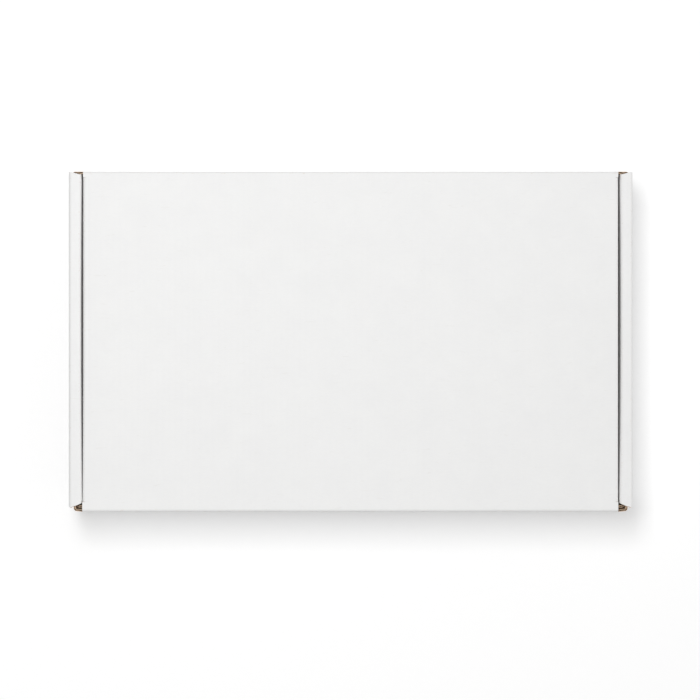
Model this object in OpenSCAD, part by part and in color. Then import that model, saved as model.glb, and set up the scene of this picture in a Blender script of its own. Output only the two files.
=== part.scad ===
// Roll-end corrugated mailer box, folded from one die-cut sheet and closed.
// X runs along the width, the front is at -Y, and the box stands on Z = 0.

/* [Box] */
// Outside width, over the rolled side walls
box_w = 300; // [200:1:450]
// Outside depth, from the front flap to the back wall
box_d = 181; // [130:1:320]
// Outside height of the closed box
box_h = 50; // [36:1:120]

/* [Board] */
// Thickness of the corrugated board
board_t = 1.2; // [1.1:0.1:1.6]
// Inside radius of a fold
fold_in = 0.3; // [0.2:0.1:0.7]
// Split along a hinged fold
hinge_gap = 0.04; // [0.02:0.01:0.1]
// Thickness of each liner, the board's two flat faces
liner_t = 0.2; // [0.15:0.05:0.3]
// Thickness of the wavy sheet between the liners
medium_t = 0.15; // [0.1:0.05:0.25]
// Length of one wave
flute_pitch = 3.3; // [2.4:0.1:4.2]
// How deep the open waves show at a raw edge
flute_deep = 1.2; // [0.6:0.1:2]

/* [Rolled side walls] */
// Room beside the ear, against the outer side wall
ear_gap = 1.4; // [0.8:0.05:1.9]
// Room between the layers inside a side wall
layer_gap = 0.1; // [0.1:0.05:0.3]
// Room beside the back corner flap, against the outer side wall
back_flap_gap = 0.2; // [0.1:0.05:0.4]
// From the front flap to the outer side wall's front edge
side_front_gap = 1.3; // [0.15:0.05:1.5]
// From the front wall to the inner side wall's front edge
inner_front_gap = 1.3; // [0.2:0.1:3]
// Width of the rolled top's front end that is cut almost square
square_end_w = 3; // [2:0.1:3.4]
// How far that end runs back over this width
square_end_run = 0.6; // [0:0.05:0.8]
// Room under the rolled top, over the back wall
roll_gap = 0.3; // [0.15:0.05:0.8]
// From the back face to the outer side wall's back edge
side_back_gap = 0.2; // [0.1:0.05:0.6]
// From the back wall to the inner side wall's back edge
inner_back_gap = 0.2; // [0.1:0.05:1]
// Length of a lock tab
tab_l = 26; // [12:1:40]
// Distance between the middles of a side's two lock tabs
tab_pitch = 92; // [50:1:110]
// Room round a lock tab in its slot
tab_gap = 0.3; // [0.1:0.05:0.6]
// How far a lock tab's end stays above the ground
tab_lift = 0.25; // [0.1:0.05:0.6]

/* [Corner flaps] */
// Length of a corner flap, back from its fold
corner_l = 46; // [20:1:58]
// Radius of a corner flap's free corners
corner_r = 9; // [3:1:14]
// From the base's folds up to a corner flap
corner_gap = 0.4; // [0.2:0.1:1.5]
// From the rolled top down to a corner flap
corner_drop = 2.5; // [0.5:0.1:5]

/* [Lid] */
// Relief cut at each end of a side flap's fold
relief_w = 0.1; // [0.1:0.05:1.2]
// Slit between the lid and a rolled side wall
slit_w = 1.25; // [0.4:0.05:1.6]
// Room under the lid, over the front wall
lid_gap = 0.3; // [0.15:0.05:0.8]
// Depth of a lid side flap, down from the lid's top
dust_h = 38; // [16:1:38]
// Radius of a side flap's free corners
dust_r = 15; // [4:1:15]
// From the front and back walls to a side flap
dust_gap = 2; // [0.6:0.1:6]

/* [Front flap] */
// Room between the front flap and the front wall
front_gap = 1; // [0.1:0.05:1.4]
// From the ground to the front flap's lower edge
flap_lift = 3; // [1:0.5:12]
// Longest reach of an ear, back from the front face
ear_l = 12; // [4:0.5:14]
// Room between a swinging ear and the rolled side wall
ear_swing_gap = 0.15; // [0.1:0.05:0.5]
// From the front flap's lower edge up to an ear's
ear_rise = 2; // [0:0.5:8]
// From the rolled top down to an ear
ear_drop = 0.3; // [0.2:0.1:1.5]

/* [Hidden] */
$fn = 64;
// How far joined shapes reach into each other, and cuts past a surface
lap = 1;

fold_r = board_t + fold_in;
x_side = box_w / 2;
y_front = -box_d / 2;
y_back = box_d / 2;

// Places across a side wall, from the outside in
ear_in = board_t + ear_gap;
front_corner_in = ear_in + board_t + layer_gap;
inner_in = front_corner_in + board_t + layer_gap;
strip_w = inner_in + board_t;
back_corner_in = board_t + back_flap_gap;
lid_x = x_side - strip_w - slit_w;

// Places from the front face back, and from the back face forward
front_wall_in = board_t + front_gap;
side_front_in = board_t + side_front_gap;
square_end_in = side_front_in + square_end_run;
inner_front_in = front_wall_in + board_t + inner_front_gap;
inner_back_in = board_t + inner_back_gap;

// Heights
front_top = box_h - board_t - lid_gap;
back_top = box_h - board_t - roll_gap;
corner_top = box_h - board_t - corner_drop;
ear_top = box_h - board_t - ear_drop;
corner_low = fold_r + corner_gap;
top_fold_z = box_h - fold_r;

// A quarter of a fold, as a section with its middle at the origin
module quarter_fold(turn) {
    rotate(turn) intersection() {
        difference() {
            circle(fold_r);
            circle(fold_in);
        }
        square(fold_r);
    }
}

// The lower half of a quarter fold, from +X up to the mitre that its hinge opens at
module standing_half() {
    reach = 2 * fold_r;
    intersection() {
        quarter_fold(0);
        translate([0, -hinge_gap]) polygon([[0, 0], [reach, 0], [reach, reach]]);
    }
}

// The upper half of a quarter fold, from +Y down to the mitre
module lying_half() {
    reach = 2 * fold_r;
    intersection() {
        quarter_fold(0);
        polygon([[0, 0], [reach, reach], [0, reach]]);
    }
}

// A section drawn across X and Z, run from y0 to y1
module run_y(y0, y1) {
    translate([0, y1, 0]) rotate([90, 0, 0]) linear_extrude(y1 - y0) children();
}

// A section drawn across Y and Z, run from x0 to x1
module run_x(x0, x1) {
    translate([x0, 0, 0]) rotate([90, 0, 90]) linear_extrude(x1 - x0) children();
}

// A plan drawn across X and Y, run from z0 to z1
module run_z(z0, z1) {
    translate([0, 0, z0]) linear_extrude(z1 - z0) children();
}

// A free end of length l and height h with both of its corners rounded, from x = 0
module round_end(l, h, r) {
    square([l - r, h]);
    translate([0, r]) square([l, h - 2 * r]);
    for (y = [r, h - r]) translate([l - r, y]) circle(r);
}

// The waves that stand open at a raw edge, from u0 to u1 along X, between liners at Y = 0 and board_t
module flutes(u0, u1) {
    half_w = flute_pitch / 2 - 2 * medium_t;
    half_h = board_t / 2 - liner_t;
    n = floor((u1 - u0) / flute_pitch);
    first = (u0 + u1 - n * flute_pitch) / 2;
    for (i = [0:2 * n - 2])
        translate([first + (i + 1) * flute_pitch / 2, board_t / 2]) mirror([0, i % 2])
            polygon([[-half_w, -half_h], [half_w, -half_h], [0, half_h - medium_t]]);
}

module both_sides() {
    children();
    mirror([1, 0, 0]) children();
}

module tab_places() {
    for (s = [-1, 1]) translate([0, s * tab_pitch / 2]) children();
}

// Section of one rolled side: from the base up, over the top and down inside
module rolled_section() {
    inner_low = board_t + layer_gap;
    translate([x_side - fold_r - lap, 0]) square([lap, board_t]);
    translate([x_side - fold_r, fold_r]) quarter_fold(-90);
    translate([x_side - board_t, fold_r]) square([board_t, top_fold_z - fold_r]);
    translate([x_side - fold_r, top_fold_z]) quarter_fold(0);
    translate([x_side - strip_w + fold_r, box_h - board_t]) square([strip_w - 2 * fold_r, board_t]);
    translate([x_side - strip_w + fold_r, top_fold_z]) quarter_fold(90);
    translate([x_side - strip_w, inner_low]) square([board_t, top_fold_z - inner_low]);
}

// Outline of a rolled side seen from above, with slanting ends
module rolled_plan() {
    polygon([
        [x_side + lap, y_front + side_front_in],
        [x_side - board_t, y_front + side_front_in],
        [x_side - square_end_w, y_front + square_end_in],
        [x_side - strip_w, y_front + inner_front_in],
        [x_side - strip_w - lap, y_front + inner_front_in],
        [x_side - strip_w - lap, y_back - inner_back_in],
        [x_side - inner_in, y_back - inner_back_in],
        [x_side - board_t, y_back - side_back_gap],
        [x_side + lap, y_back - side_back_gap],
    ]);
}

// Open waves at a rolled side's front and back ends, in the outer wall and in the top
module rolled_flutes() {
    strip_front = y_front + inner_front_in;
    strip_back = y_back - inner_back_in;
    outer_front = y_front + side_front_in;
    outer_back = y_back - side_back_gap;
    for (end = [[y_front, outer_front + flute_deep], [outer_back - flute_deep, y_back]])
        run_y(end[0], end[1]) translate([x_side, 0]) rotate(90) flutes(fold_r, top_fold_z);
    for (end = [[y_front, strip_front + flute_deep], [strip_back - flute_deep, y_back]])
        run_y(end[0], end[1]) translate([0, box_h - board_t])
            flutes(x_side - strip_w + fold_in, x_side - fold_in);
}

module rolled_side() {
    tab_top = board_t + layer_gap + lap;
    difference() {
        intersection() {
            run_y(y_front, y_back) rolled_section();
            run_z(-lap, box_h + lap) rolled_plan();
        }
        rolled_flutes();
    }
    run_z(tab_lift, tab_top) tab_places()
        translate([x_side - strip_w, -tab_l / 2]) square([board_t, tab_l]);
}

// The base, out to where its folds begin, with the slots for the lock tabs
module base() {
    front_x = x_side - front_corner_in - fold_r;
    back_x = x_side - back_corner_in - fold_r;
    run_z(0, board_t) difference() {
        union() {
            translate([-front_x, y_front + front_wall_in + fold_r])
                square([2 * front_x, box_d - front_wall_in - 2 * fold_r]);
            both_sides() {
                translate([front_x, y_front + side_front_in])
                    square([front_corner_in, box_d / 2 - side_front_in]);
                translate([front_x - lap, 0]) square([front_corner_in + lap, y_back - fold_r]);
                translate([back_x, 0]) square([back_corner_in, y_back - side_back_gap]);
            }
        }
        both_sides() tab_places() translate([x_side - strip_w - layer_gap, -tab_l / 2 - tab_gap])
            square([board_t + 2 * layer_gap, tab_l + 2 * tab_gap]);
    }
}

// A corner flap standing across X at x0, drawn back from its fold at y = 0
module corner_flap(x0) {
    run_x(x0, x0 + board_t) translate([0, corner_low])
        round_end(corner_l, corner_top - corner_low, corner_r);
}

// Plan of an upright corner: the end of a wall at y = 0, its fold, and the start of its flap
module corner_plan(wall_x) {
    translate([wall_x - lap, 0]) square([lap, board_t]);
    translate([wall_x, fold_r]) quarter_fold(-90);
    translate([wall_x + fold_r - board_t, fold_r]) square([board_t, lap]);
}

// Front wall, folded up from the base, with its two corner flaps folded back
module front_wall() {
    wall_x = x_side - front_corner_in - fold_r;
    translate([0, y_front + front_wall_in, 0]) {
        difference() {
            run_x(-wall_x, wall_x) {
                translate([fold_r, 0]) square([lap, board_t]);
                translate([fold_r, fold_r]) quarter_fold(180);
                translate([0, fold_r]) square([board_t, front_top - fold_r]);
            }
            run_z(front_top - flute_deep, box_h) flutes(-wall_x, wall_x);
        }
        both_sides() {
            run_z(corner_low, corner_top) corner_plan(wall_x);
            translate([0, fold_r, 0]) corner_flap(wall_x + fold_r - board_t);
        }
    }
}

// Back wall, up to the hinged fold of the lid, with its two corner flaps folded forward
module back_wall() {
    wall_x = x_side - back_corner_in - fold_r;
    translate([0, y_back, 0]) mirror([0, 1, 0]) {
        run_x(-wall_x, wall_x) {
            translate([fold_r, 0]) square([lap, board_t]);
            translate([fold_r, fold_r]) quarter_fold(180);
            translate([0, fold_r]) square([board_t, back_top - fold_r]);
        }
        run_x(-lid_x, lid_x) {
            translate([0, corner_low]) square([board_t, top_fold_z - corner_low]);
            translate([fold_r, top_fold_z]) mirror([1, 0]) standing_half();
        }
        both_sides() {
            run_z(corner_low, corner_top) corner_plan(wall_x);
            translate([0, fold_r, 0]) corner_flap(wall_x + fold_r - board_t);
        }
    }
}

module tray() {
    color("whitesmoke") {
        base();
        both_sides() rolled_side();
        front_wall();
        back_wall();
    }
}

// Lid, hinged to the back wall, with two side flaps tucked inside the rolled sides
module lid() {
    flap_front = y_front + front_wall_in + board_t + dust_gap;
    flap_back = y_back - board_t - dust_gap;
    color("white") {
        difference() {
            run_x(-lid_x, lid_x) {
                translate([y_front + fold_r, box_h - board_t]) square([box_d - 2 * fold_r, board_t]);
                translate([y_back - fold_r, top_fold_z]) lying_half();
                translate([y_front + fold_r, top_fold_z]) mirror([1, 0]) lying_half();
            }
            both_sides() translate([lid_x - fold_r, flap_front - relief_w, top_fold_z])
                cube([fold_r + lap, flap_back - flap_front + 2 * relief_w, fold_r + lap]);
        }
        both_sides() {
            run_y(flap_front, flap_back) {
                translate([lid_x - fold_r - lap, box_h - board_t]) square([lap, board_t]);
                translate([lid_x - fold_r, top_fold_z]) quarter_fold(0);
                translate([lid_x - board_t, top_fold_z - lap]) square([board_t, lap]);
            }
            difference() {
                run_x(lid_x - board_t, lid_x) translate([flap_front, box_h - dust_h])
                    dust_flap(flap_back - flap_front);
                for (end = [[y_front, flap_front + flute_deep], [flap_back - flute_deep, y_back]])
                    run_y(end[0], end[1]) translate([lid_x, 0]) rotate(90)
                        flutes(box_h - dust_h + dust_r, top_fold_z);
            }
        }
    }
}

// Outline of a side flap of length l, with its lower corners rounded, up to its fold
module dust_flap(l) {
    translate([0, dust_r]) square([l, dust_h - dust_r - fold_r]);
    translate([dust_r, 0]) square([l - 2 * dust_r, dust_r]);
    for (y = [dust_r, l - dust_r]) translate([y, dust_r]) circle(dust_r);
}

// Front flap, hinged to the lid's front edge and hanging over the front wall, with its ears
module front_flap() {
    ear_x = x_side - ear_in;
    color("snow") difference() {
        union() {
            run_x(-lid_x, lid_x) {
                translate([y_front, flap_lift]) square([board_t, top_fold_z - flap_lift]);
                translate([y_front + fold_r, top_fold_z]) mirror([1, 0]) standing_half();
            }
            run_z(flap_lift + ear_rise, ear_top) translate([0, y_front]) {
                translate([-ear_x + fold_r, 0]) square([2 * (ear_x - fold_r), board_t]);
                both_sides() {
                    translate([ear_x - fold_r, fold_r]) quarter_fold(-90);
                    translate([ear_x - board_t, fold_r]) square([board_t, ear_l - fold_r]);
                }
            }
        }
        run_z(0, flap_lift + flute_deep) translate([0, y_front]) flutes(-lid_x, lid_x);
        run_z(ear_top - flute_deep, box_h) translate([0, y_front]) both_sides()
            flutes(lid_x, ear_x - fold_in);
        lid_swing();
    }
}

// What the rolled sides' front ends leave free to an ear as the lid swings up about its hinge
module lid_swing() {
    end_in = side_front_in + square_end_run * ear_gap / (square_end_w - board_t);
    swing_r = norm([box_d - end_in, board_t]) + ear_swing_gap;
    translate([0, y_back, box_h]) rotate([0, 90, 0])
        cylinder(h = box_w, r = swing_r, center = true);
}

tray();
lid();
front_flap();
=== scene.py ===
from math import ceil, cos, hypot, pi, radians, sin, sqrt

import bmesh
import bpy
from mathutils import Matrix, Vector
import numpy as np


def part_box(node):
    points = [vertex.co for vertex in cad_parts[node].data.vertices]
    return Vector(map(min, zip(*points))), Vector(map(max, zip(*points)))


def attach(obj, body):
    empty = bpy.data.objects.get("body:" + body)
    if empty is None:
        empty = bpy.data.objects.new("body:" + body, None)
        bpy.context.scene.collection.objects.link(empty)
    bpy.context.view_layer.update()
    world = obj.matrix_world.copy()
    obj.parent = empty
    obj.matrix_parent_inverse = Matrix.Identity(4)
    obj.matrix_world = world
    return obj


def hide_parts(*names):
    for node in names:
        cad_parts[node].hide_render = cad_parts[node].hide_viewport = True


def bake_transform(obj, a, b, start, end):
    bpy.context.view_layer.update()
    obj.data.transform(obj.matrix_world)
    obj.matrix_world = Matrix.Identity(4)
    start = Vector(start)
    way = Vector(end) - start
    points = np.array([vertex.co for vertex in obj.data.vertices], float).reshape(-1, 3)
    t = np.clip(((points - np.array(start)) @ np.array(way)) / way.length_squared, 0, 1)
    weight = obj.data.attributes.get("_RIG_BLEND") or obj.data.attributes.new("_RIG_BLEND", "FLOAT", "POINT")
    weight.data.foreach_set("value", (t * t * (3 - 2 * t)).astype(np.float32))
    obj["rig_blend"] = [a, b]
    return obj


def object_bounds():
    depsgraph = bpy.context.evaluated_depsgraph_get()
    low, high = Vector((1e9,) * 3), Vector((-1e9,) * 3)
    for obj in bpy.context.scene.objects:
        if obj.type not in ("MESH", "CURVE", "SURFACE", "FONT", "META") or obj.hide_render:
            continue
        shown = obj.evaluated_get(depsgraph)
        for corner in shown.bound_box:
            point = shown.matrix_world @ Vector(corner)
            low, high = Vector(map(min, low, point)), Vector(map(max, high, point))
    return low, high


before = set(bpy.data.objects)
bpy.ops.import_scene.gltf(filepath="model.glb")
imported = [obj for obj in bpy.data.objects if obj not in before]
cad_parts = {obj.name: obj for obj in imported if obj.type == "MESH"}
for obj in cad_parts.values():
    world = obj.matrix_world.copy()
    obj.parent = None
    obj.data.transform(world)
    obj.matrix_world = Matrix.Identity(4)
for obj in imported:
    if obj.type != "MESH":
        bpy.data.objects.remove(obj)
cad_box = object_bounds()
scene = bpy.context.scene

# Sizes of the closed box and its flaps, from the frame
MM = 0.001
BOX_LOW, BOX_HIGH = cad_box
LID_LOW, LID_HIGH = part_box("lid")
FLAP_LOW, FLAP_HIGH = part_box("front_flap")
X_SIDE = BOX_HIGH.x
Y_FRONT, Y_BACK = BOX_LOW.y, BOX_HIGH.y
BOX_H = BOX_HIGH.z
LID_X = LID_HIGH.x
EAR_X = FLAP_HIGH.x
FLAP_LIFT = FLAP_LOW.z
DUST_LOW = LID_LOW.z

# The board and its three papers
BOARD_T = 1.2 * MM
LINER_T = 0.2 * MM
MEDIUM_T = 0.15 * MM
FLUTE_PITCH = 3.3 * MM
WAVE_STEP = FLUTE_PITCH / 6
ROW_STEP = 20 * MM
CREASE_STEP = 24 * MM
FOLD_IN = 0.3 * MM
FOLD_R = BOARD_T + FOLD_IN
FOLD_STEPS = 9
PANEL_STEPS = 10
MITRE_BLEND = 0.007 * MM

# Places across a rolled side, from the outside in
LAYER_GAP = 0.1 * MM
FRONT_CORNER_IN = X_SIDE - EAR_X + BOARD_T + LAYER_GAP
INNER_IN = FRONT_CORNER_IN + BOARD_T + LAYER_GAP
STRIP_W = INNER_IN + BOARD_T
BACK_CORNER_IN = BOARD_T + 0.2 * MM
SQUARE_END_W = 3 * MM

# Places from the front face back, and from the back face forward
FRONT_WALL_IN = BOARD_T + 1 * MM
SIDE_FRONT_IN = BOARD_T + 1.3 * MM
SQUARE_END_IN = SIDE_FRONT_IN + 0.6 * MM
INNER_FRONT_IN = FRONT_WALL_IN + BOARD_T + 1.3 * MM
SIDE_BACK_IN = 0.2 * MM
INNER_BACK_IN = BOARD_T + 0.2 * MM
END_SHEAR = 20 * MM

# Heights
TOP_FOLD_Z = BOX_H - FOLD_R
INNER_LOW = BOARD_T + LAYER_GAP
FRONT_TOP = BOX_H - BOARD_T - 0.3 * MM
CORNER_TOP = BOX_H - BOARD_T - 2.5 * MM
CORNER_LOW = FOLD_R + 0.4 * MM
TAB_LIFT = 0.25 * MM

# Flaps, tabs and slots
TAB_L = 26 * MM
TAB_PITCH = 92 * MM
TAB_GAP = 0.3 * MM
CORNER_L = 46 * MM
CORNER_R = 9 * MM
DUST_R = 15 * MM
DUST_GAP = 2 * MM
ROUND_CUTS = (11, 22, 34, 45, 56, 68, 79)
RELIEF_W = 0.1 * MM
EAR_L = 12 * MM
EAR_LOW = FLAP_LIFT + 2 * MM
EAR_TOP = BOX_H - BOARD_T - 0.3 * MM
EAR_SWING_GAP = 0.15 * MM

# How the real board gives: the rolls lean nearer the lid towards their ends, where the corner flaps fill them
LEFT_LEAN = (0.1 * MM, 0.5 * MM)
RIGHT_LEAN = (-0.2 * MM, 0.72 * MM)
LEAN_MIDDLE = 12 * MM
LID_SKEW = 0.4 * MM
EAR_TUCK = 0.4 * MM
TUCK_FROM = 2.3 * MM
TUCK_FADE = 1 * MM
RAW_END_OUT = 0.45 * MM
RAW_END_RUN = 1 * MM

X, Y, Z = Vector((1, 0, 0)), Vector((0, 1, 0)), Vector((0, 0, 1))
NEAR = 0.001 * MM
SHARP_FROM = radians(32)


class Paper:
    """One of the board's three papers, grown from a row of points as the blank is folded."""

    def __init__(self, depth, wave=0.0):
        self.bm = bmesh.new()
        self.run = self.bm.verts.layers.float.new("run")
        self.crease = self.bm.verts.layers.float.new("crease")
        self.give = self.bm.verts.layers.float.new("give")
        self.depth = depth
        self.wave = wave

    def lift(self, run):
        """How far the paper stands out at this place across the waves."""
        return self.wave * cos(2 * pi * run / FLUTE_PITCH)

    def start(self, points, runs, out):
        """Makes the first row under these points of the outer face, and returns its edges."""
        verts = []
        for point, run in zip(points, runs):
            vert = self.bm.verts.new(point + out * (self.lift(run) - self.depth))
            vert[self.run] = run
            verts.append(vert)
        return [self.bm.edges.new(pair) for pair in zip(verts, verts[1:])]

    def grow(self, edges, move):
        """Extrudes these edges, moves the new ones, and returns them."""
        made = bmesh.ops.extrude_edge_only(self.bm, edges=edges)["geom"]
        verts = {g for g in made if isinstance(g, bmesh.types.BMVert)}
        bmesh.ops.transform(self.bm, matrix=move, verts=list(verts))
        return [g for g in made if isinstance(g, bmesh.types.BMEdge) and verts.issuperset(g.verts)]

    def rim(self, test):
        """The open edges whose two ends both pass the test."""
        return [e for e in self.bm.edges if e.is_boundary and all(test(v.co) for v in e.verts)]

    def cut(self, test, point, normal):
        """Cuts the faces whose middle passes the test, and drops what lies past the plane."""
        faces = [f for f in self.bm.faces if test(f.calc_center_median())]
        geom = {g for f in faces for g in (f, *f.edges, *f.verts)}
        bmesh.ops.bisect_plane(self.bm, geom=list(geom), plane_co=point, plane_no=normal, clear_outer=True)

    def round_corner(self, test, corner, along, down, radius):
        """Rounds the corner that points along and down, with cuts that touch its arc."""
        middle = corner - (along + down) * radius
        for degrees in ROUND_CUTS:
            normal = along * cos(radians(degrees)) + down * sin(radians(degrees))
            self.cut(test, middle + normal * radius, normal)

    def punch(self, test):
        faces = [f for f in self.bm.faces if test(f.calc_center_median())]
        bmesh.ops.delete(self.bm, geom=faces, context="FACES")


class Lead:
    """The leading edge of a paper: its place on the board's outer face, and which way it grows."""

    def __init__(self, paper, edges, at, heading, out, run=None):
        self.paper = paper
        self.edges = edges
        self.at = at.copy()
        self.heading = heading.copy()
        self.out = out.copy()
        self.run = run

    def step(self, move, length):
        self.edges = self.paper.grow(self.edges, move)
        self.at = move @ self.at
        turn = move.to_3x3()
        self.heading = turn @ self.heading
        self.out = turn @ self.out
        if self.run is None:
            return
        rise = self.paper.lift(self.run + length) - self.paper.lift(self.run)
        self.run += length
        verts = {v for e in self.edges for v in e.verts}
        for vert in verts:
            vert[self.paper.run] = self.run
        bmesh.ops.translate(self.paper.bm, verts=list(verts), vec=self.out * rise)

    def steps(self, length, least):
        waves = self.paper.wave and self.run is not None
        return max(least, ceil(length / WAVE_STEP)) if waves else least

    def flat(self, length, least=1):
        n = self.steps(length, least)
        for _ in range(n):
            self.step(Matrix.Translation(self.heading * length / n), length / n)
        return self

    def fold(self, angle=pi / 2):
        """Turns towards the board's inner face, round the middle of the fold."""
        length = (FOLD_R - BOARD_T / 2) * angle
        n = self.steps(length, FOLD_STEPS)
        middle = self.at - self.out * FOLD_R
        axis = self.out.cross(self.heading)
        turn = Matrix.Rotation(angle / n, 4, axis)
        move = Matrix.Translation(middle) @ turn @ Matrix.Translation(-middle)
        for _ in range(n):
            self.step(move, length / n)
            for vert in {v for e in self.edges for v in e.verts}:
                vert[self.paper.crease] = 1
        for vert in {v for e in self.edges for v in e.verts}:
            vert[self.paper.crease] = 0
        return self


def near(a, b):
    return abs(a - b) < NEAR


def between(low, value, high):
    return low - NEAR < value < high + NEAR


def stops(low, high, *inner, spacing=None):
    """Places from low to high, with the inner ones, and more where they lie further apart than spacing."""
    places = [low, *sorted(inner), high]
    if spacing is None:
        return places
    out = [low]
    for a, b in zip(places, places[1:]):
        n = max(1, ceil((b - a) / spacing))
        out += [a + (b - a) * i / n for i in range(1, n + 1)]
    return out


def front_line(side_in):
    """How far a rolled side's front end lies behind the front face, this far in from the side."""
    if side_in < BOARD_T:
        return SIDE_FRONT_IN
    if side_in < SQUARE_END_W:
        share = (side_in - BOARD_T) / (SQUARE_END_W - BOARD_T)
        return SIDE_FRONT_IN + share * (SQUARE_END_IN - SIDE_FRONT_IN)
    share = min(1, (side_in - SQUARE_END_W) / (STRIP_W - SQUARE_END_W))
    return SQUARE_END_IN + share * (INNER_FRONT_IN - SQUARE_END_IN)


def back_line(side_in):
    """How far its back end lies before the back face."""
    share = min(1, max(0, (side_in - BOARD_T) / (INNER_IN - BOARD_T)))
    return SIDE_BACK_IN + share * (INNER_BACK_IN - SIDE_BACK_IN)


def slant_ends(paper):
    """Shears the rolled side back to its slanting ends, and marks how far each point of it can lean."""
    front, back = Y_FRONT + SIDE_FRONT_IN, Y_BACK - SIDE_BACK_IN
    for vert in paper.bm.verts:
        if vert.co.z < INNER_LOW - NEAR:
            continue
        side_in = X_SIDE - vert.co.x
        y = vert.co.y
        push = front_line(side_in) - SIDE_FRONT_IN
        pull = back_line(side_in) - SIDE_BACK_IN
        vert.co.y += push * max(0, 1 - (y - front) / END_SHEAR) - pull * max(0, 1 - (back - y) / END_SHEAR)
        crushed = max(0, 1 - side_in / STRIP_W) * max(0, 1 - (y - front) / RAW_END_RUN)
        vert.co.y -= RAW_END_OUT * crushed * paper.depth / BOARD_T
        across = min(1, max(0, (side_in - FOLD_R) / (STRIP_W - FOLD_R)))
        vert[paper.give] = across * (vert.co.z - INNER_LOW) / (BOX_H - INNER_LOW)


def tray_half(paper):
    """The tray's right half: base, rolled side, front and back walls, and their corner flaps."""
    base_front = Y_FRONT + FRONT_WALL_IN + FOLD_R
    base_back = Y_BACK - FOLD_R
    front_x = X_SIDE - FRONT_CORNER_IN - FOLD_R
    back_x = X_SIDE - BACK_CORNER_IN - FOLD_R
    fold_x = X_SIDE - FOLD_R
    slot_x = (X_SIDE - STRIP_W - LAYER_GAP, X_SIDE - INNER_IN + LAYER_GAP)
    tabs = [(s * TAB_PITCH / 2 - TAB_L / 2, s * TAB_PITCH / 2 + TAB_L / 2) for s in (-1, 1)]
    slots = [(a - TAB_GAP, b + TAB_GAP) for a, b in tabs]
    marks = [y for pair in tabs + slots for y in pair]
    rows = stops(base_front, base_back, *marks, spacing=ROW_STEP)[::-1]

    # The base, out to the fold of the side wall
    lead = Lead(paper, paper.start([Vector((0, y, 0)) for y in rows], [0] * len(rows), -Z),
                Vector((0, 0, 0)), X, -Z, run=0)
    columns = stops(0, fold_x, LID_X, slot_x[0], front_x, slot_x[1], back_x)
    for a, b in zip(columns, columns[1:]):
        lead.flat(b - a)
    paper.punch(lambda c: slot_x[0] < c.x < slot_x[1] and any(a < c.y < b for a, b in slots))
    front_margin = paper.rim(lambda v: near(v.y, base_front) and between(front_x, v.x, fold_x))
    Lead(paper, front_margin, Vector((0, base_front, 0)), -Y, -Z).flat(FRONT_WALL_IN + FOLD_R - SIDE_FRONT_IN)
    back_margin = paper.rim(lambda v: near(v.y, base_back) and between(back_x, v.x, fold_x))
    Lead(paper, back_margin, Vector((0, base_back, 0)), Y, -Z).flat(FOLD_R - SIDE_BACK_IN)

    # The side wall: up, over the top and down inside, to the lock tabs
    side = Lead(paper, paper.rim(lambda v: near(v.x, fold_x)), Vector((fold_x, 0, 0)), X, -Z, run=fold_x)
    side.fold().flat(BOX_H - 2 * FOLD_R)
    side.fold().flat(SQUARE_END_W - FOLD_R).flat(STRIP_W - SQUARE_END_W - FOLD_R)
    side.fold().flat(TOP_FOLD_Z - INNER_LOW)
    for a, b in tabs:
        tab = [e for e in side.edges if all(between(a, v.co.y, b) for v in e.verts)]
        Lead(paper, tab, side.at, side.heading, side.out, side.run).flat(INNER_LOW - TAB_LIFT)
    slant_ends(paper)

    # The front wall and its corner flap
    wall = Lead(paper, paper.rim(lambda v: near(v.y, base_front) and v.z < FOLD_R and v.x < front_x + NEAR),
                Vector((0, base_front, 0)), -Y, -Z)
    wall.fold().flat(CORNER_LOW - FOLD_R).flat(CORNER_TOP - CORNER_LOW).flat(FRONT_TOP - CORNER_TOP)
    wall_y = Y_FRONT + FRONT_WALL_IN
    corner = paper.rim(lambda v: near(v.x, front_x) and between(wall_y, v.y, wall_y + BOARD_T)
                       and between(CORNER_LOW, v.z, CORNER_TOP))
    Lead(paper, corner, Vector((front_x, wall_y, 0)), X, -Y, run=front_x).fold().flat(CORNER_L)
    flap_end = wall_y + FOLD_R + CORNER_L
    in_flap = lambda c: (X_SIDE - INNER_IN < c.x < EAR_X and wall_y + FOLD_R < c.y < 0
                         and CORNER_LOW < c.z < CORNER_TOP)
    paper.round_corner(in_flap, Vector((0, flap_end, CORNER_TOP)), Y, Z, CORNER_R)
    paper.round_corner(in_flap, Vector((0, flap_end, CORNER_LOW)), Y, -Z, CORNER_R)

    # The back wall, up to the lid's crease, and its corner flap
    wall = Lead(paper, paper.rim(lambda v: near(v.y, base_back) and v.z < FOLD_R and v.x < back_x + NEAR),
                Vector((0, base_back, 0)), Y, -Z)
    wall.fold().flat(CORNER_LOW - FOLD_R).flat(CORNER_TOP - CORNER_LOW).flat(TOP_FOLD_Z - CORNER_TOP)
    corner = paper.rim(lambda v: near(v.x, back_x) and between(Y_BACK - BOARD_T, v.y, Y_BACK)
                       and between(CORNER_LOW, v.z, CORNER_TOP))
    Lead(paper, corner, Vector((back_x, Y_BACK, 0)), X, Y, run=back_x).fold().flat(CORNER_L)
    flap_end = Y_BACK - FOLD_R - CORNER_L
    flap_x = X_SIDE - BACK_CORNER_IN
    in_flap = lambda c: (between(flap_x - BOARD_T, c.x, flap_x) and 0 < c.y < Y_BACK - FOLD_R
                         and CORNER_LOW < c.z < CORNER_TOP)
    paper.round_corner(in_flap, Vector((0, flap_end, CORNER_TOP)), -Y, Z, CORNER_R)
    paper.round_corner(in_flap, Vector((0, flap_end, CORNER_LOW)), -Y, -Z, CORNER_R)


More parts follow.
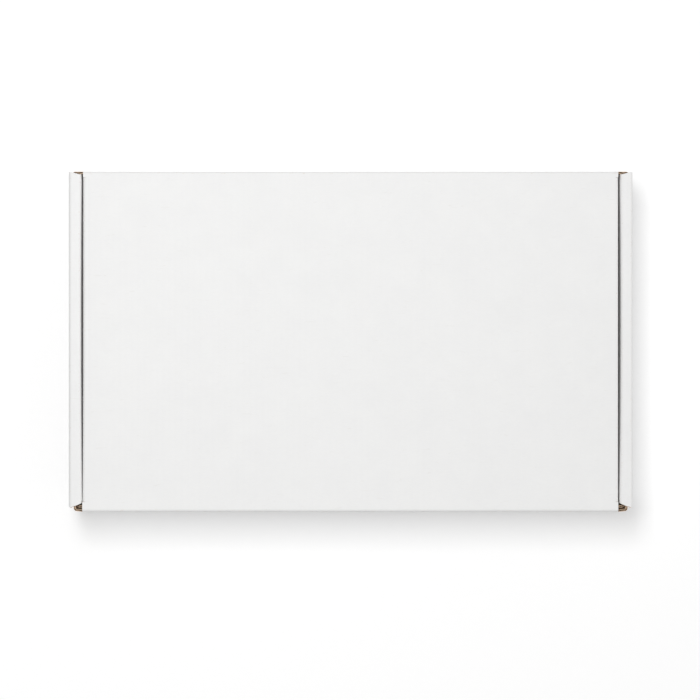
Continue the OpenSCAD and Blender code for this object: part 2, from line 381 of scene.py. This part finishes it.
def lid_half(paper):
    """The lid's right half, between its two creases, and its side flap."""
    front, back = Y_FRONT + FOLD_R, Y_BACK - FOLD_R
    flap_front = Y_FRONT + FRONT_WALL_IN + BOARD_T + DUST_GAP
    flap_back = Y_BACK - BOARD_T - DUST_GAP
    relief = (flap_front - RELIEF_W, flap_front, flap_back, flap_back + RELIEF_W)
    rows = stops(front, back, *relief, spacing=ROW_STEP)
    fold_x = LID_X - FOLD_R
    lead = Lead(paper, paper.start([Vector((0, y, BOX_H)) for y in rows], [0] * len(rows), Z),
                Vector((0, 0, BOX_H)), X, Z, run=0)
    lead.flat(fold_x, least=PANEL_STEPS)
    flap = [e for e in lead.edges if all(between(flap_front, v.co.y, flap_back) for v in e.verts)]
    ends = [e for e in lead.edges if all(v.co.y < flap_front - RELIEF_W + NEAR for v in e.verts)
            or all(v.co.y > flap_back + RELIEF_W - NEAR for v in e.verts)]
    Lead(paper, ends, lead.at, X, Z, run=fold_x).flat(FOLD_R)
    Lead(paper, flap, lead.at, X, Z, run=fold_x).fold().flat(TOP_FOLD_Z - DUST_LOW)
    in_flap = lambda c: c.x > fold_x and c.z < TOP_FOLD_Z
    paper.round_corner(in_flap, Vector((0, flap_front, DUST_LOW)), -Y, -Z, DUST_R)
    paper.round_corner(in_flap, Vector((0, flap_back, DUST_LOW)), Y, -Z, DUST_R)


def front_flap_half(paper):
    """The front flap's right half, below its crease, and its ear."""
    end_in = front_line(X_SIDE - EAR_X)
    swing_r = hypot(Y_BACK - Y_FRONT - end_in, BOARD_T) + EAR_SWING_GAP
    fold_x = EAR_X - FOLD_R
    columns = stops(0, fold_x, LID_X, spacing=WAVE_STEP if paper.wave else None)
    lead = Lead(paper, paper.start([Vector((x, Y_FRONT, EAR_TOP)) for x in columns], columns, -Y),
                Vector((0, Y_FRONT, EAR_TOP)), -Z, -Y)
    lead.flat(EAR_TOP - EAR_LOW, least=PANEL_STEPS)
    face = [e for e in lead.edges if all(v.co.x < LID_X + NEAR for v in e.verts)]
    Lead(paper, face, lead.at, -Z, -Y).flat(EAR_LOW - FLAP_LIFT)
    side = paper.rim(lambda v: near(v.x, fold_x) and between(EAR_LOW, v.z, EAR_TOP))
    ear = Lead(paper, side, Vector((fold_x, Y_FRONT, 0)), X, -Y, run=fold_x)
    ear.fold().flat(EAR_L - FOLD_R)
    ear_start = Y_FRONT + FOLD_R
    for vert in paper.bm.verts:
        if vert.co.y < ear_start:
            continue
        free = Y_BACK - sqrt(swing_r ** 2 - (BOX_H - vert.co.z) ** 2)
        share = (vert.co.y - ear_start) / (EAR_L - FOLD_R)
        vert.co.y = ear_start + share * (min(free, Y_FRONT + EAR_L) - ear_start)


def crease(paper, at, heading, out):
    """The right half of a hinged fold, from this edge of the board."""
    columns = stops(0, LID_X, spacing=WAVE_STEP if paper.wave else CREASE_STEP)
    points = [Vector((x, at.y, at.z)) for x in columns]
    if heading.cross(X).dot(out) < 0:
        points, columns = points[::-1], columns[::-1]
    Lead(paper, paper.start(points, columns, out), at, heading, out).fold()


def back_crease(paper):
    crease(paper, Vector((0, Y_BACK - FOLD_R, BOX_H)), Y, Z)


def front_crease(paper):
    crease(paper, Vector((0, Y_FRONT + FOLD_R, BOX_H)), -Y, Z)


def mirrored(bm):
    made = bmesh.ops.duplicate(bm, geom=[*bm.verts, *bm.edges, *bm.faces])["geom"]
    bmesh.ops.scale(bm, vec=(-1, 1, 1), verts=[g for g in made if isinstance(g, bmesh.types.BMVert)])
    bmesh.ops.reverse_faces(bm, faces=[g for g in made if isinstance(g, bmesh.types.BMFace)])
    bmesh.ops.remove_doubles(bm, verts=bm.verts[:], dist=NEAR)


def add(tree, kind, inputs=None, **settings):
    """A shader node with these settings, and with a value or a link on each named input."""
    node = tree.nodes.new("ShaderNode" + kind)
    for key, value in settings.items():
        setattr(node, key, value)
    for key, value in (inputs or {}).items():
        if isinstance(value, bpy.types.NodeSocket):
            tree.links.new(value, node.inputs[key])
        else:
            node.inputs[key].default_value = value
    return node


def maths(tree, operation, a, b):
    return add(tree, "Math", {0: a, 1: b}, operation=operation).outputs[0]


def new_group(name, inputs, outputs):
    tree = bpy.data.node_groups.new(name, "ShaderNodeTree")
    for label, value in inputs.items():
        tree.interface.new_socket(label, in_out="INPUT", socket_type="NodeSocketFloat").default_value = value
    for label in outputs:
        tree.interface.new_socket(label, in_out="OUTPUT", socket_type="NodeSocketFloat")
    return tree, tree.nodes.new("NodeGroupInput").outputs, tree.nodes.new("NodeGroupOutput").inputs


def make_paper_grain():
    """Clouds of fibre, single fibres that lie mostly across the flutes, and flecks."""
    tree, given, gives = new_group("paper_grain", {"Cloud": 90, "Fibre": 2600, "Fleck": 900},
                                   ["Cloud", "Fibre", "Fleck"])
    place = add(tree, "TexCoord").outputs["Object"]
    laid = add(tree, "Mapping", {"Vector": place, "Scale": (0.16, 1, 0.55)}, vector_type="POINT").outputs[0]
    cloud = add(tree, "TexNoise", {"Vector": place, "Scale": given["Cloud"], "Detail": 4, "Roughness": 0.62})
    fibre = add(tree, "TexNoise", {"Vector": laid, "Scale": given["Fibre"], "Detail": 2, "Distortion": 0.6})
    fleck = add(tree, "TexNoise", {"Vector": laid, "Scale": given["Fleck"], "Detail": 3, "Distortion": 1.2})
    sharp = add(tree, "MapRange", {"Value": fleck.outputs[0], "From Min": 0.66, "From Max": 0.74})
    tree.links.new(cloud.outputs[0], gives["Cloud"])
    tree.links.new(fibre.outputs[0], gives["Fibre"])
    tree.links.new(sharp.outputs[0], gives["Fleck"])
    return tree


def make_washboard():
    """How high the liner stands over the flutes, from the distance run across them, and none at a crease."""
    tree, given, gives = new_group("washboard", {"Pitch": FLUTE_PITCH}, ["Height", "Crease"])
    run = add(tree, "Attribute", attribute_name="run").outputs["Fac"]
    creased = add(tree, "Attribute", attribute_name="crease").outputs["Fac"]
    turns = maths(tree, "DIVIDE", run, given["Pitch"])
    angle = maths(tree, "MULTIPLY", turns, 2 * pi)
    wave = add(tree, "Math", {0: angle}, operation="COSINE").outputs[0]
    height = maths(tree, "MULTIPLY", wave, maths(tree, "SUBTRACT", 1, creased))
    tree.links.new(height, gives["Height"])
    tree.links.new(creased, gives["Crease"])
    return tree


PAPER_GRAIN = make_paper_grain()
WASHBOARD = make_washboard()


def blend_colour(tree, share, low, high):
    """A colour between two, each a colour or a link."""
    mix = add(tree, "Mix", data_type="RGBA")
    for socket, value in zip((mix.inputs["Factor"], mix.inputs[6], mix.inputs[7]), (share, low, high)):
        if isinstance(value, bpy.types.NodeSocket):
            tree.links.new(value, socket)
        else:
            socket.default_value = (*value, 1)
    return mix.outputs[2]


def backdrop_ray(tree):
    """1 on a ray that shows the backdrop, straight from the camera or by way of gloss or glass."""
    path = add(tree, "LightPath").outputs
    seen = maths(tree, "MAXIMUM", path["Is Camera Ray"], path["Is Glossy Ray"])
    return maths(tree, "MAXIMUM", seen, path["Is Transmission Ray"])


def paper_look(name, low, high, fleck, rough, relief, grain, ridged=0, crack=0, cracked=(0, 0, 0)):
    """A paper surface: two tones, its flecks, roughness range, height of its washboard and fibres, how far
    the ridges over the flutes show in its tone, and the cracks at its folds."""
    made = bpy.data.materials.new(name)
    made.use_nodes = True
    tree = made.node_tree
    bsdf = tree.nodes["Principled BSDF"]
    fibres = add(tree, "Group", grain, node_tree=PAPER_GRAIN).outputs
    board = add(tree, "Group", {"Pitch": FLUTE_PITCH}, node_tree=WASHBOARD).outputs
    grey = maths(tree, "ADD", fibres["Cloud"], maths(tree, "MULTIPLY", fibres["Fibre"], 0.7))
    grey = maths(tree, "ADD", grey, maths(tree, "MULTIPLY", board["Height"], 0.2 * ridged))
    tone = add(tree, "MapRange", {"Value": grey, "From Min": 0.6, "From Max": 1.1}).outputs[0]
    colour = blend_colour(tree, tone, low, high)
    fleck_colour, fleck_share = fleck
    colour = blend_colour(tree, maths(tree, "MULTIPLY", fibres["Fleck"], fleck_share), colour, fleck_colour)
    if crack:
        split = add(tree, "MapRange", {"Value": fibres["Fibre"], "From Min": 0.6, "From Max": 0.7}).outputs[0]
        share = maths(tree, "MULTIPLY", maths(tree, "MULTIPLY", split, board["Crease"]), crack)
        colour = blend_colour(tree, share, colour, cracked)
    tree.links.new(colour, bsdf.inputs["Base Color"])
    uneven = add(tree, "MapRange", {"Value": fibres["Fibre"], "To Min": rough[0], "To Max": rough[1]})
    tree.links.new(uneven.outputs[0], bsdf.inputs["Roughness"])
    bumpy = add(tree, "Bump", {"Height": board["Height"], "Distance": relief[0]})
    bumpy = add(tree, "Bump", {"Height": fibres["Fibre"], "Distance": relief[1], "Normal": bumpy.outputs[0]})
    tree.links.new(bumpy.outputs[0], bsdf.inputs["Normal"])
    return made


WHITE = paper_look("white_liner", low=(0.845, 0.845, 0.842), high=(0.872, 0.872, 0.866),
                   fleck=((0.74, 0.72, 0.69), 0.25), rough=(0.5, 0.66), relief=(0.010 * MM, 0.010 * MM),
                   grain={"Cloud": 70}, crack=0.35, cracked=(0.66, 0.56, 0.46))
KRAFT = paper_look("kraft_liner", low=(0.415, 0.265, 0.153), high=(0.500, 0.328, 0.198),
                   fleck=((0.29, 0.175, 0.095), 0.55), rough=(0.7, 0.86), relief=(0.03 * MM, 0.03 * MM),
                   grain={"Cloud": 210, "Fibre": 1500, "Fleck": 700}, ridged=0.35)
RAW = paper_look("raw_kraft", low=(0.60, 0.43, 0.29), high=(0.82, 0.63, 0.46),
                 fleck=((0.38, 0.25, 0.15), 0.35), rough=(0.78, 0.92), relief=(0, 0.05 * MM),
                 grain={"Cloud": 400, "Fibre": 3400, "Fleck": 1500})


def lean_rolls(bm):
    """The rolled sides stand nearer the lid towards their ends, the left one in its middle too."""
    give = bm.verts.layers.float["give"]
    for vert in bm.verts:
        out, (middle, ends) = (1, RIGHT_LEAN) if vert.co.x > 0 else (-1, LEFT_LEAN)
        lean = middle + ends * ((vert.co.y - LEAN_MIDDLE) / Y_BACK) ** 2
        vert.co.x -= out * lean * vert[give]


def skew_lid(bm):
    """The lid's left edge stands out a little towards the front, so its slit narrows there."""
    for vert in bm.verts:
        if vert.co.x < 0 and vert.co.y < 0:
            forward = min(1, vert.co.y / (Y_FRONT + FOLD_R))
            vert.co.x -= LID_SKEW * (vert.co.x / LID_X * forward) ** 2


def tuck_ears(bm):
    """The front flap is drawn back a little where its ears go in under the rolls."""
    for vert in bm.verts:
        out = min(1, max(0, (abs(vert.co.x) - LID_X) / (EAR_X - LID_X)))
        ahead = min(1, max(0, (Y_FRONT + TUCK_FROM - vert.co.y) / TUCK_FADE))
        vert.co.y += EAR_TUCK * out * ahead


SETTLE = {"tray": lean_rolls, "lid": skew_lid, "front_crease": skew_lid, "front_flap": tuck_ears}


# The fluting's middle lies midway through the board, and its waves fill the room between the liners
WAVE_DEPTH = (BOARD_T - MEDIUM_T) / 2
WAVE_H = BOARD_T / 2 - LINER_T - MEDIUM_T / 2

# Name, depth of its outer side, thickness, wave height, outer material, the rest's material, record slot
PAPERS = (
    ("outer_liner", 0, LINER_T, 0, WHITE, KRAFT, "white_board"),
    ("fluting", WAVE_DEPTH, MEDIUM_T, WAVE_H, RAW, RAW, "kraft_board"),
    ("inner_liner", BOARD_T - LINER_T, LINER_T, 0, RAW, KRAFT, "kraft_board"),
)


def layers(name, build):
    """One object for each paper of this piece of board."""
    made = []
    for part, depth, thick, wave, outer, rest, slot in PAPERS:
        paper = Paper(depth, wave)
        build(paper)
        bm = paper.bm
        mirrored(bm)
        if name in SETTLE:
            SETTLE[name](bm)
        bm.normal_update()
        front, front_verts = set(bm.faces), set(bm.verts)
        bmesh.ops.solidify(bm, geom=list(front), thickness=thick)
        for face in bm.faces:
            face.smooth = True
            edge_face = not front_verts.isdisjoint(face.verts)
            face.material_index = 0 if face in front else 2 if edge_face else 1
        mesh = bpy.data.meshes.new(f"{name}_{part}")
        bm.to_mesh(mesh)
        bm.free()
        mesh.set_sharp_from_angle(angle=SHARP_FROM)
        obj = bpy.data.objects.new(mesh.name, mesh)
        scene.collection.objects.link(obj)
        mesh.materials.append(outer)
        mesh.materials.append(rest)
        mesh.materials.append(RAW)
        made.append(obj)
    return made


for node, build in (("tray", tray_half), ("lid", lid_half), ("front_flap", front_flap_half)):
    pieces = layers(node, build)
    for obj in pieces:
        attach(obj, node)
    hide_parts(node)
# The lid turns by 180 degrees, so its crease parts at the mitre, and one face of each paper spans the bend
mitre = Vector((0, Y_BACK - FOLD_R, TOP_FOLD_Z))
beside = (Z - Y) * MITRE_BLEND
for obj in layers("back_crease", back_crease):
    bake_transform(obj, "tray", "lid", mitre - beside, mitre + beside)
front_start = Vector((0, Y_FRONT + FOLD_R, BOX_H - BOARD_T))
front_end = Vector((0, Y_FRONT + BOARD_T, TOP_FOLD_Z))
for obj in layers("front_crease", front_crease):
    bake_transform(obj, "lid", "front_flap", front_start, front_end)


# Ground
GROUND_HALF = 4
GROUND_GREY = 0.8
FLOOR_GLOW = 0.278
bm = bmesh.new()
bmesh.ops.create_grid(bm, x_segments=1, y_segments=1, size=GROUND_HALF)
mesh = bpy.data.meshes.new("ground")
bm.to_mesh(mesh)
bm.free()
ground = bpy.data.objects.new("ground", mesh)
scene.collection.objects.link(ground)
paper_floor = bpy.data.materials.new("ground_white")
paper_floor.use_nodes = True
mesh.materials.append(paper_floor)
tree = paper_floor.node_tree
tree.nodes.clear()
diffuse = add(tree, "BsdfDiffuse", {"Color": (GROUND_GREY, GROUND_GREY, GROUND_GREY, 1)})
glow = add(tree, "Emission", {"Strength": maths(tree, "MULTIPLY", backdrop_ray(tree), FLOOR_GLOW)})
both = add(tree, "AddShader", {0: diffuse.outputs[0], 1: glow.outputs[0]})
add(tree, "OutputMaterial", {"Surface": both.outputs[0]})

# Light, from a window-like lamp on the left behind, and a sky that is brighter on the right
SKY_LEFT, SKY_RIGHT = 0.26, 0.77
LAMP_SIZE = (0.37, 0.66)
LAMP_POWER = 11.1
LAMP_PLACE = (-0.19, 0.33, 1.5)
world = bpy.data.worlds.new("studio")
world.use_nodes = True
sky = world.node_tree
towards = add(sky, "SeparateXYZ", {"Vector": add(sky, "TexCoord").outputs["Generated"]}).outputs["X"]
side_light = add(sky, "MapRange", {"Value": towards, "From Min": -1, "To Min": SKY_LEFT, "To Max": SKY_RIGHT})
shown = maths(sky, "MAXIMUM", side_light.outputs[0], backdrop_ray(sky))
sky.links.new(shown, sky.nodes["Background"].inputs["Strength"])
sky.nodes["Background"].inputs["Color"].default_value = (1, 1, 1, 1)
scene.world = world
light = bpy.data.lights.new("key", "AREA")
light.shape = "RECTANGLE"
light.size, light.size_y = LAMP_SIZE
light.energy = LAMP_POWER
key = bpy.data.objects.new("key", light)
key.location = LAMP_PLACE
scene.collection.objects.link(key)

# Camera, straight above
LENS_LENGTH, SENSOR_WIDTH = 150, 36
CAMERA_PLACE = (-0.00035, -0.0044, 1.601)
lens = bpy.data.cameras.new("camera")
lens.lens = LENS_LENGTH
lens.sensor_width = SENSOR_WIDTH
camera = bpy.data.objects.new("camera", lens)
camera.location = CAMERA_PLACE
scene.collection.objects.link(camera)
scene.camera = camera
scene.view_settings.view_transform = "Standard"
